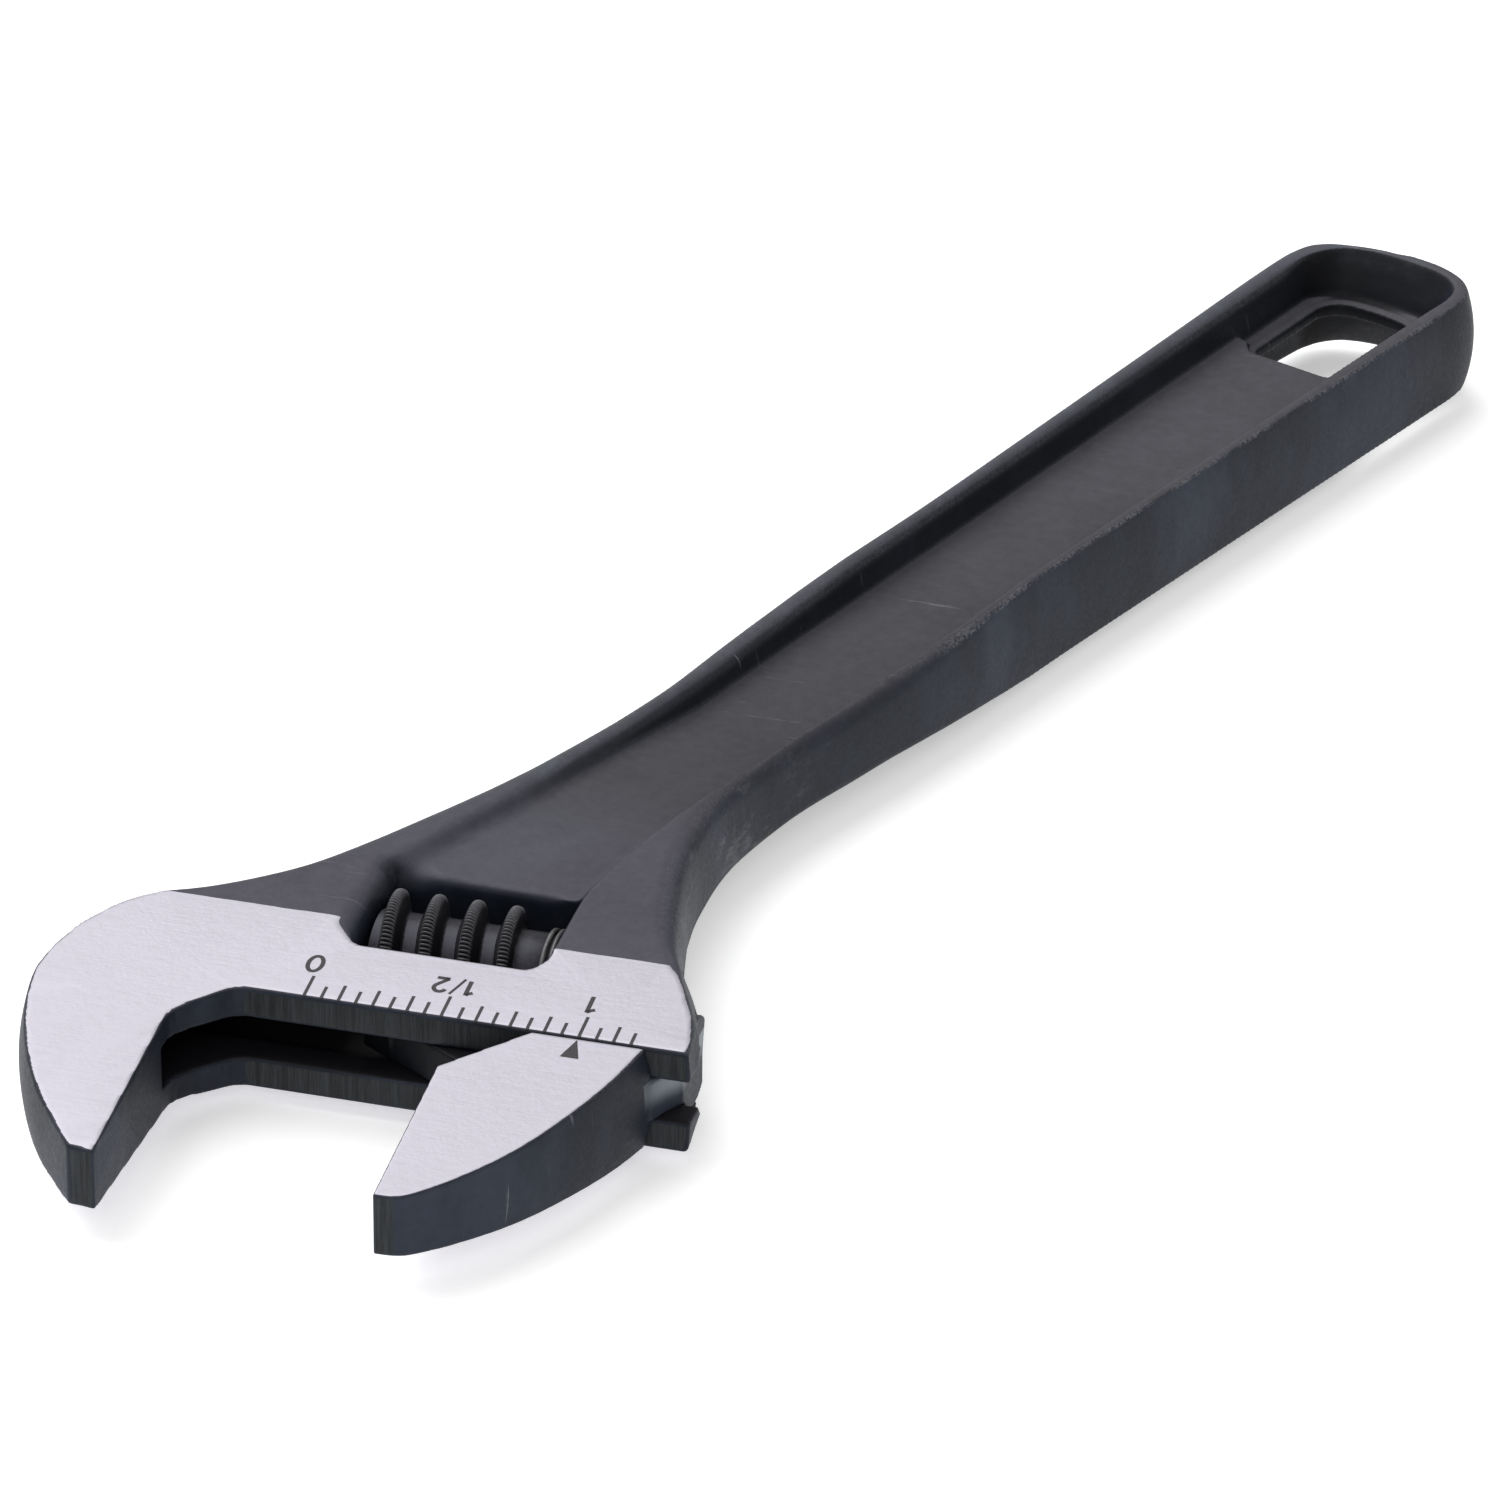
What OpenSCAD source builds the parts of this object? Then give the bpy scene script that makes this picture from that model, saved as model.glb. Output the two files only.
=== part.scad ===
// Adjustable wrench of the 8 inch class, set one inch open.
//
// Head frame: X runs the way the jaws open and the fixed jaw's face is X = 0. Y runs towards
// the handle and the guide edge, which carries the scale, is Y = 0. Z is the thickness.
// Handle frame: x runs along the handle's axis, y is across it and Z is the thickness.
// The part's origin is the middle of the fixed jaw's flat, so every node is moved by jaw_mid.

/* [Jaws] */
// Gap between the jaws
opening = 25.4; // [0:0.1:30]
// Length of the jaws in front of the guide edge
jaw_reach = 26.4; // [25.6:0.2:27.2]
// Half thickness of the head at the guide edge
guide_half = 5.19; // [5:0.01:5.4]
// Half thickness gained for each millimetre towards the handle
head_taper = 0.08; // [0.07:0.005:0.09]
// Half width of the slot that the jaw's web runs in
slot_half = 2.1; // [2:0.05:2.3]
// Gap between the web and each wall of the slot
web_gap = 0.1; // [0.05:0.01:0.15]

/* [Rack] */
// Radius of the movable jaw's round rack
rack_r = 4.25; // [4.2:0.05:4.3]
// Distance of the rack's axis behind the guide edge
rack_y = 6.9; // [6.8:0.05:7]
// Running clearance round the rack
rack_gap = 0.07; // [0.04:0.01:0.09]
// Length of the rack on the closed side of the movable jaw's face
rack_left = 10.4; // [9.6:0.2:10.4]
// Length of the rack on the open side of the movable jaw's face
rack_right = 19.8; // [19:0.2:20]

/* [Knurl] */
// Radius over the worm thread
knurl_r = 6.5; // [6.3:0.05:6.55]
// Radius of the core between the threads
core_r = 4.5; // [4.4:0.05:4.7]
// Pitch of the worm and of the rack
pitch = 3.65; // [3.6:0.01:3.7]
// Distance of the knurl's axis behind the guide edge
knurl_y = 16.3; // [16.25:0.05:16.5]
// Radius of the pin that the knurl turns on
pin_r = 2; // [1.8:0.05:2]
// Running clearance between the pin and the knurl's bore
pin_gap = 0.05; // [0.03:0.01:0.08]

/* [Handle] */
// Angle between the handle and the fixed jaw's face
handle_angle = 21; // [20.5:0.1:21.5]
// Length of the handle along its axis, from beside the knurl
handle_len = 162.3; // [161:0.1:165]
// Half thickness of the grip
grip_half = 5.35; // [5.2:0.05:5.6]
// Half thickness of the neck
neck_half = 4.35; // [4.2:0.05:4.6]
// Half thickness of the web in the hollow grip
web_half = 1.85; // [1.6:0.05:2.2]
// How far the forged sides stand out at the parting line
bulge = 0.9; // [0.5:0.05:1]

/* [Hidden] */

flat_start = -6;
jaw_mid = (jaw_reach - flat_start) / 2;
guide_back = 12.5;
back_half = guide_half + head_taper * guide_back;
handle_foot = [16.65, 14.94];
knurl_phase = -360 * (opening - 25.4) / pitch;

window_x = [12.5, 30.4];
window_y = [8.8, 23.5];
knurl_start = 12.9;
knurl_end = 30;
thread_end = 27;
crest_w = 0.7;
root_w = 2.4;
// The thread's middle at the rack side of the knurl when the jaws are one inch open
mesh_x = 15.33;

hang_w = 5.3;
hang_end = handle_len - 5;
hang_start = handle_len - 21.8;
hang_step = 0.85;

pin_left = 7;
head_seat = 38.8;
head_end = 40.6;
head_r = 2.8;

//// Curves

function between(a, b, c, d, u) =
    0.5 * (2 * b + (c - a) * u + (2 * a - 5 * b + 4 * c - d) * u * u + (3 * b - a - 3 * c + d) * u * u * u);
// A smooth line through the points, with a number of steps between each two
function smooth_line(points, steps) = let(last = len(points) - 1) [
    for (i = [0 : last - 1], k = [0 : steps - 1])
        between(points[max(i - 1, 0)], points[i], points[i + 1], points[min(i + 2, last)], k / steps),
    points[last]
];
function unit(v) = v / norm(v);
// The way that corner i of a closed outline moves when its sides all move out by 1
function outward(points, i) = let(
    n = len(points),
    d = unit(points[(i + 1) % n] - points[i]) + unit(points[i] - points[(i + n - 1) % n])
) [d.y, -d.x] * 2 / (d * d);
function flip(points) = [for (i = [len(points) - 1 : -1 : 0]) [points[i].x, -points[i].y]];
// A point of the handle frame, seen in the head frame
function on_handle(p) = handle_foot + [
    p.x * sin(handle_angle) - p.y * cos(handle_angle),
    p.x * cos(handle_angle) + p.y * sin(handle_angle)
];

// A closed outline stretched through levels, each moved out along the outline's normals
module skin(points, levels) {
    n = len(points);
    rings = len(levels);
    corners = [
        for (level = levels, i = [0 : n - 1])
            let(p = points[i] + outward(points, i) * level[1] * tip_fade(points[i].y))
            [p.x, p.y, level[0]]
    ];
    sides = [
        for (r = [0 : rings - 2], i = [0 : n - 1])
            let(j = (i + 1) % n)
            [(r + 1) * n + i, (r + 1) * n + j, r * n + j, r * n + i]
    ];
    bottom = [for (i = [0 : n - 1]) i];
    top = [for (i = [n - 1 : -1 : 0]) (rings - 1) * n + i];
    polyhedron(corners, concat([bottom], sides, [top]), convexity = 10);
}
// The bulge dies away at the jaws' ground tips
function tip_fade(y) = min(1, max(0, (y + jaw_reach) / 12));

module head_frame() { translate([0, jaw_mid, 0]) children(); }
module handle_frame() { translate(handle_foot) rotate([0, 0, 90 - handle_angle]) children(); }
module both_faces() { children(); mirror([0, 0, 1]) children(); }
module slab(points, low, high) { translate([0, 0, low]) linear_extrude(high - low) polygon(points); }
// A round bar along X, of radius $r
module along_x(start, end) {
    translate([start, 0, 0]) rotate([0, 90, 0]) cylinder(h = end - start, r = $r, $fn = 64);
}

//// Outline of the forging, at the edges of its faces

// Half width of the handle, as points of the handle frame
grip_side = [[92, 8.55], [110, 8.92], [130, 9.38], [151, 9.87]];
right_neck = [[48, 7.5], [58, 8.05], [70, 8.5], [80, 8.5]];
left_neck = [[48, 7.85], [58, 8.35], [70, 8.65], [80, 8.6]];
left_corner = [
    [handle_len - 5.1, 9.5],
    [handle_len - 2.6, 7.95],
    [handle_len - 1.2, 5.4],
    [handle_len - 0.2, 2.2]
];
right_corner = [
    [handle_len - 5.4, 9.9],
    [handle_len - 2.9, 9.2],
    [handle_len - 1.1, 7.4],
    [handle_len - 0.1, 4.6],
    [handle_len + 0.1, 1.6]
];
right_head = [
    [46.5, -3], [46.3, 0.6], [45.3, 5.6], [42.4, 12.3], [40, 18.4],
    [38.2, 25.6], [37.1, 31.6], [36.7, 38], [37.5, 46.6]
];
left_head = [
    [21.5, 50.8], [17.05, 41.45], [12.35, 33.05], [8.55, 26.85], [4.65, 21.5], [0.3, 17.35], [-4.3, 14],
    [-8.4, 11.2], [-11.8, 6.2], [-13.4, 0], [-12.9, -5.2], [-11.2, -10.7], [-8, -17.6],
    [-5, -22.4], [-2.5, 0.4 - jaw_reach]
];
right_side = concat(right_neck, grip_side, right_corner);
left_side = concat(left_neck, grip_side, left_corner);
forging = concat(
    smooth_line(concat(
        right_head,
        [for (p = right_side) on_handle([p.x, -p.y])],
        [for (i = [len(left_side) - 1 : -1 : 0]) on_handle(left_side[i])],
        left_head
    ), 3),
    [[0.5, -jaw_reach]]
);

module forged_sides() {
    skin(forging, [for (z = [-7.2 : 2.4 : 7.3]) [z, bulge * (1 - pow(z / 5.4, 2))]]);
}
// Side view of the thickness, along Y
module thickness_profile() {
    top = [
        [-jaw_reach - 3, guide_half - head_taper * (jaw_reach + 3)],
        [guide_back, back_half],
        [30, back_half - 0.55],
        [46, neck_half + 0.35],
        [56, neck_half],
        [70, neck_half + 0.1],
        [80, neck_half + 0.45],
        [91, grip_half],
        [180, grip_half]
    ];
    translate([-20, 0, 0]) rotate([90, 0, 90])
        linear_extrude(120) polygon(concat(top, flip(top)));
}

//// Openings in the forging

module mouth() {
    slab([
        [0, -40], [0, flat_start - 0.4], [0.12, -5.4], [0.5, -4.6], [3.7, -1], [4.5, -0.35], [5.6, 0],
        [60, 0], [60, -40]
    ], -10, 10);
}
// The slot follows the closed position of the movable jaw's web
module web_slot() {
    slab([
        [0, -7.1], [-rack_left - 0.5, -0.75], [-rack_left - 0.5, 4.7], [0.4 - rack_left, rack_y],
        [60, rack_y], [60, -7.1]
    ], -slot_half, slot_half);
}
module rack_bore() {
    r = rack_r + rack_gap;
    translate([0, rack_y, 0]) rotate([0, 90, 0]) {
        translate([0, 0, 3 - rack_left]) cylinder(h = 70, r = r, $fn = 96);
        translate([0, 0, -rack_left - 0.2]) cylinder(h = 3.2, r1 = r - 3.2, r2 = r, $fn = 96);
    }
}
module window() {
    x = window_x;
    y = window_y;
    outline = [
        [x[0], y[0] + 1], [x[0] + 1, y[0]], [x[1] - 1.6, y[0]], [x[1] - 0.9, y[0] + 0.4],
        [x[1], y[0] + 2.4], [x[1], y[1]], [x[0], y[1]]
    ];
    inner = 9.5;
    both_faces() slab(outline, 4.4, 10);
    intersection() {
        slab(outline, -5, 5);
        slab([[0, inner], [60, inner], [60, 60], [0, 60]], -5, 5);
    }
    // The left edge is dished towards both faces
    both_faces() hull() {
        translate([0, 0, 3.4]) slab([[x[0], 11], [x[0] + 2, 10], [x[0] + 2, y[1]], [x[0], y[1]]], 0, 0.1);
        translate([0, 0, 6.4])
            slab([[x[0] - 2, 12.4], [x[0] + 2, 9.5], [x[0] + 2, y[1] + 1], [x[0], y[1] + 1]], 0, 0.1);
    }
}
module pin_hole() {
    translate([0, knurl_y, 0]) {
        along_x(pin_left, 60, $r = pin_r + 0.02);
        along_x(head_seat, 60, $r = head_r + 0.1);
    }
}
// Outline of the hollow, as points of the handle frame, with y to the left
pocket_left = [[12, 7.1], [24, 6.6], [48, 6.3], [62, 6.6], [80, 6.85], [100, 7.05], [125, 7.45], [151, 7.8]];
pocket_right = [
    [7.5, -11.8], [11.2, -10.4], [14.5, -9.5], [19.5, -8.7], [29.5, -7.4], [38, -7],
    [48, -6.9], [62, -7.25], [80, -7.5], [100, -7.7], [125, -8.1], [151, -8.45]
];
pocket_left_corner = [
    [handle_len - 6.1, 7.8],
    [handle_len - 3.2, 6.5],
    [handle_len - 1.7, 4.3],
    [handle_len - 1.1, 1.6]
];
pocket_right_corner = [
    [handle_len - 5.9, 8.6],
    [handle_len - 3.1, 7.9],
    [handle_len - 1.5, 5.8],
    [handle_len - 1, 2.8]
];
pocket_outline = concat(
    [[2.5, -13.9]],
    smooth_line(concat(
        pocket_right,
        [for (p = pocket_right_corner) [p.x, -p.y]],
        [for (i = [len(pocket_left_corner) - 1 : -1 : 0]) pocket_left_corner[i]],
        [for (i = [len(pocket_left) - 1 : -1 : 0]) pocket_left[i]]
    ), 3),
    [[5.5, 7.6]]
);
module hollow() {
    draft = tan(10);
    floor_rise = tan(4);
    intersection() {
        skin(pocket_outline, [for (z = [0.7, 10]) [z, (z - grip_half) * draft]]);
        translate([0, 40, 0]) rotate([90, 0, 0]) linear_extrude(80) polygon([
            [-10, web_half + 60 * floor_rise], [50, web_half], [hang_start + 2, web_half],
            [hang_start + 3.4, web_half - hang_step], [180, web_half - hang_step], [180, 12], [-10, 12]
        ]);
    }
}
module hang_hole() {
    corner = 2.2;
    near_r = 6.1;
    slab([
        [hang_start + 3, hang_w - 0.1], [hang_end - corner - 0.6, hang_w],
        [hang_end - corner - 0.6, -hang_w], [hang_start + 3, 0.1 - hang_w]
    ], -6, 6);
    intersection() {
        translate([hang_start + near_r, 0, -6]) cylinder(h = 12, r = near_r, $fn = 96);
        slab([
            [hang_start - 1, -hang_w], [hang_end - 2, -hang_w],
            [hang_end - 2, hang_w], [hang_start - 1, hang_w]
        ], -6, 6);
    }
    for (side = [-1, 1])
        translate([hang_end - corner - 0.6, side * (hang_w - corner), -6])
            cylinder(h = 12, r = corner, $fn = 48);
    intersection() {
        translate([hang_end - 19, 0, -6]) cylinder(h = 12, r = 19, $fn = 180);
        slab([
            [hang_end - 5, corner - hang_w], [hang_end + 1, corner - hang_w],
            [hang_end + 1, hang_w - corner], [hang_end - 5, hang_w - corner]
        ], -6, 6);
    }
}

module body() {
    color([0.2, 0.2, 0.22]) head_frame() difference() {
        intersection() { forged_sides(); thickness_profile(); }
        mouth();
        web_slot();
        rack_bore();
        window();
        pin_hole();
        handle_frame() { both_faces() hollow(); hang_hole(); }
    }
}

//// Movable jaw, in its own frame with its face at X = 0

jaw_back = [
    [0, -jaw_reach], [1.9, 0.15 - jaw_reach], [3.4, 1 - jaw_reach], [6.3, -22.4],
    [9.9, -17.5], [13.15, -11.3], [15.6, -5.4], [17.3, 0.5]
];
module jaw_block() {
    outline = concat(
        smooth_line(jaw_back, 5),
        [[17, 3], [-2, 3], [-2, -jaw_reach]]
    );
    ride = -0.1;
    intersection() {
        skin(outline, [for (z = [-5.6 : 1.4 : 5.7]) [z, 0.6 * (1 - pow(z / 4.6, 2))]]);
        translate([-20, 0, 0]) rotate([90, 0, 90]) linear_extrude(60) polygon([
            [-40, guide_half - 40 * head_taper], [ride, guide_half + ride * head_taper],
            [ride, -guide_half - ride * head_taper], [-40, 40 * head_taper - guide_half]
        ]);
        slab([[0, -40], [30, -40], [30, ride], [6.7, ride], [0, -7]], -10, 10);
    }
}
module jaw_web() {
    half = slot_half - web_gap;
    slab([
        [3.8, -3.7], [-rack_left, 4.65], [1 - rack_left, rack_y], [rack_right, rack_y],
        [rack_right, 2.9], [18.6, 1], [17.9, -0.6], [15, -3], [8, -3.7]
    ], -half, half);
}
module rack() {
    r = rack_r;
    root_y = knurl_y - knurl_r - 0.4;
    difference() {
        translate([0, rack_y, 0]) rotate([0, 90, 0]) {
            translate([0, 0, 3 - rack_left]) cylinder(h = rack_left + rack_right - 3.4, r = r, $fn = 96);
            translate([0, 0, -rack_left]) cylinder(h = 3, r1 = r - 3, r2 = r, $fn = 96);
            translate([0, 0, rack_right - 0.4]) cylinder(h = 0.4, r1 = r, r2 = r - 0.4, $fn = 96);
        }
        for (k = [0 : 8]) tooth_gap(mesh_x - 25.4 + k * pitch, root_y);
    }
}
// One gap of the rack, leaning by the worm's lead
module tooth_gap(x, root_y) {
    lead = atan(pitch / (2 * PI * (knurl_r + core_r) / 2));
    slack = 0.3;
    rise = (root_w - crest_w) / (knurl_r - core_r) / 2;
    deep = crest_w / 2 + slack - 0.4 * rise;
    high = deep + rise * 3;
    translate([x, root_y, 0]) rotate([0, -lead, 0])
        slab([[-deep, 0], [deep, 0], [high, 3], [-high, 3]], -6, 6);
}
module movable_jaw() {
    color([0.75, 0.75, 0.78]) head_frame() translate([opening, 0, 0]) {
        jaw_block();
        jaw_web();
        rack();
    }
}

//// Knurl: a right-hand worm on a bored core

thread_steps = 30;
thread_first = (knurl_start + crest_w / 2 - mesh_x) / pitch * 360 + 180;
thread_last = (thread_end - crest_w / 2 - mesh_x) / pitch * 360 + 180;
function thread_x(a) = mesh_x + pitch * (a - 180) / 360;
module worm_thread() {
    turns = (thread_last - thread_first) / 360;
    n = ceil(turns * thread_steps);
    root = core_r - 0.3;
    flank = (root_w - crest_w) / 2;
    stations = [for (i = [0 : n]) let(
        a = thread_first + (thread_last - thread_first) * i / n,
        fade = min(1, min(i, n - i) / 3),
        r = core_r + 0.1 + (knurl_r - core_r - 0.1) * fade,
        x = thread_x(a)
    ) each [
        [x - crest_w / 2 - flank, root * cos(a), root * sin(a)],
        [x - crest_w / 2, r * cos(a), r * sin(a)],
        [x + crest_w / 2, r * cos(a), r * sin(a)],
        [x + crest_w / 2 + flank, root * cos(a), root * sin(a)]
    ]];
    faces = [for (i = [0 : n - 1], k = [0 : 3]) let(m = (k + 1) % 4)
        [4 * i + k, 4 * i + m, 4 * i + 4 + m, 4 * i + 4 + k]];
    first = [3, 2, 1, 0];
    last = [for (k = [0 : 3]) 4 * n + k];
    polyhedron(stations, concat([first], faces, [last]), convexity = 8);
}
module knurl() {
    color([0.25, 0.25, 0.27])
    head_frame() translate([0, knurl_y, 0]) rotate([knurl_phase, 0, 0])
    difference() {
        union() {
            along_x(knurl_start, knurl_end, $r = core_r);
            intersection() {
                worm_thread();
                along_x(knurl_start, thread_end, $r = knurl_r + 1);
            }
        }
        along_x(0, 60, $r = pin_r + pin_gap);
    }
}

//// Pin and spring

module knurl_pin() {
    slot_w = 0.9;
    slot_d = 1;
    color([0.3, 0.3, 0.32]) head_frame() translate([0, knurl_y, 0]) difference() {
        union() {
            along_x(pin_left + 0.3, head_seat + 0.5, $r = pin_r);
            along_x(head_seat + 0.02, head_end, $r = head_r);
        }
        translate([head_end - slot_d, -head_r - 1, -slot_w / 2]) cube([slot_d + 1, 2 * head_r + 2, slot_w]);
    }
}
module spring() {
    wire_r = 0.24;
    coil_r = core_r + wire_r + 0.06;
    sides = 8;
    turns = 1.8;
    steps = 30;
    start = 28.8;
    end = window_x[1] - wire_r - 0.05;
    n = turns * steps;
    points = [for (i = [0 : n], k = [0 : sides - 1]) let(
        a = 360 * i / steps,
        b = 360 * k / sides,
        r = coil_r + wire_r * cos(b)
    ) [start + (end - start) * i / n + wire_r * sin(b), r * cos(a), r * sin(a)]];
    faces = [for (i = [0 : n - 1], k = [0 : sides - 1]) let(m = (k + 1) % sides)
        [sides * i + k, sides * (i + 1) + k, sides * (i + 1) + m, sides * i + m]];
    first = [for (k = [0 : sides - 1]) k];
    last = [for (k = [sides - 1 : -1 : 0]) sides * n + k];
    color([0.6, 0.6, 0.62]) head_frame() translate([0, knurl_y, 0])
        polyhedron(points, concat([first], faces, [last]), convexity = 8);
}

body();
movable_jaw();
knurl();
knurl_pin();
spring();
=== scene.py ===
"""Adjustable wrench, drawn over its CAD frame.

The forging, the movable jaw and the worm are modelled as distance fields, in millimetres, and
turned into meshes. The head frame has X = 0 on the fixed jaw's face, Y = 0 on the guide edge
and Z = 0 at half thickness. The shared frame's Y is the head frame's Y plus jaw_mid.
"""

import math

import bmesh
import bpy
import numpy as np
from mathutils import Matrix, Vector


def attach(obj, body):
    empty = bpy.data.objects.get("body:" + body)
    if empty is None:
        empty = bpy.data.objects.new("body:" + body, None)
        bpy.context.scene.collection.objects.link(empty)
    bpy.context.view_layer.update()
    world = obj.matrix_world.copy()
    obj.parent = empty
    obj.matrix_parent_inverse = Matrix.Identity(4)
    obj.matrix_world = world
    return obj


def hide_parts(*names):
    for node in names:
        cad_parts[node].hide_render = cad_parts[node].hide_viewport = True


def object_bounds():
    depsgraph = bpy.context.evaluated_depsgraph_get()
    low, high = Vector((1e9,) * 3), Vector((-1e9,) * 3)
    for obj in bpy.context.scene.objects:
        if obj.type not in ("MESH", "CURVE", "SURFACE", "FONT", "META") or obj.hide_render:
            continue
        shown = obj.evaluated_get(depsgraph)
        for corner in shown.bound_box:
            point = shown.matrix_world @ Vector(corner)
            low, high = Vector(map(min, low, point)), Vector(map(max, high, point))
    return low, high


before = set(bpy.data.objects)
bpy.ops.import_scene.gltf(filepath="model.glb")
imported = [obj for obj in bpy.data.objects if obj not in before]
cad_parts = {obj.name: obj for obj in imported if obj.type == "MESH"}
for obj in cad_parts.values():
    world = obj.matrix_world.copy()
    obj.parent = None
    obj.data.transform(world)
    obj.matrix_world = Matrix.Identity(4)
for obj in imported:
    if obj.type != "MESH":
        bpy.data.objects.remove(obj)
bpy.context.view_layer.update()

MM = 0.001

# ---- Sizes, as in the CAD -------------------------------------------------------------------

jaw_reach = 26.4
jaw_mid = 16.2
opening = 25.4
guide_half, head_taper, guide_back = 5.19, 0.08, 12.5
back_half = guide_half + head_taper * guide_back
slot_half = 2.1
rack_r, rack_y, rack_left, rack_right = 4.25, 6.9, 10.4, 19.8
knurl_r, core_r, knurl_y, pitch = 6.5, 4.5, 16.3, 3.65
crest_w, root_w, mesh_x = 0.7, 2.4, 15.33
knurl_start, thread_end, knurl_end = 12.9, 27.0, 30.0
spring_start, wire_r = 28.8, 0.24
serrations = 100
pin_r, pin_left, head_seat, head_r = 2.0, 7.0, 38.8, 2.8
handle_angle, handle_len = math.radians(21), 162.3
handle_foot = (16.65, 14.94)
grip_half, neck_half, web_half = 5.35, 4.35, 1.85
window = (12.5, 30.4, 8.8, 23.5)
window_lip, window_inner = 4.4, 9.5
hang_w, hang_end = 5.3, handle_len - 5.0
hang_start = handle_len - 21.8
hang_step = 0.85


# ---- Curves and distances -------------------------------------------------------------------

def smooth_line(points, steps):
    """A smooth line through the points, with a number of steps between each two."""
    pts = np.array(points, float)
    line = []
    for i in range(len(pts) - 1):
        a, b, c, d = (pts[min(max(k, 0), len(pts) - 1)] for k in (i - 1, i, i + 1, i + 2))
        for k in range(steps):
            u = k / steps
            line.append(0.5 * (2 * b + (c - a) * u + (2 * a - 5 * b + 4 * c - d) * u * u
                               + (3 * b - a - 3 * c + d) * u ** 3))
    line.append(pts[-1])
    return np.array(line)


def on_handle(points):
    """Points of the handle frame, along and to the left, seen in the head frame."""
    p = np.array(points, float)
    s, c = math.sin(handle_angle), math.cos(handle_angle)
    return np.stack([handle_foot[0] + p[:, 0] * s - p[:, 1] * c,
                     handle_foot[1] + p[:, 0] * c + p[:, 1] * s], 1)


def outline_distance(outline, x, y):
    """Distance to a closed outline, negative inside."""
    best = np.full(x.shape, 1e9, np.float32)
    inside = np.zeros(x.shape, bool)
    n = len(outline)
    for i in range(n):
        (ax, ay), (bx, by) = outline[i], outline[(i + 1) % n]
        ex, ey = bx - ax, by - ay
        length = ex * ex + ey * ey
        if length < 1e-12:
            continue
        px, py = x - ax, y - ay
        t = np.clip((px * ex + py * ey) / length, 0, 1)
        best = np.minimum(best, (px - t * ex) ** 2 + (py - t * ey) ** 2)
        if ay != by:
            crosses = ((ay > y) != (by > y)) & (px < ex * py / ey)
            inside ^= crosses
    best = np.sqrt(best)
    return np.where(inside, -best, best).astype(np.float32)


def both(a, b, r):
    """Where both solids are, with the edge between them rounded to radius r."""
    u, v = np.maximum(a + r, 0), np.maximum(b + r, 0)
    return np.minimum(np.maximum(a, b), -r) + np.sqrt(u * u + v * v)


def cut(a, b, r):
    """Solid a without solid b, with the new edge rounded to radius r."""
    return both(a, -b, r)


def ramp(v, low, high):
    """0 below low, 1 above high and smooth between them."""
    t = np.clip((v - low) / (high - low), 0, 1)
    return t * t * (3 - 2 * t)


def new_object(name, data):
    """A new object in the scene that holds the data."""
    thing = bpy.data.objects.new(name, data)
    bpy.context.scene.collection.objects.link(thing)
    return thing


def shade_smooth(mesh):
    """Light every face of the mesh as part of one curved surface."""
    mesh.polygons.foreach_set("use_smooth", np.ones(len(mesh.polygons), bool))


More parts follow.
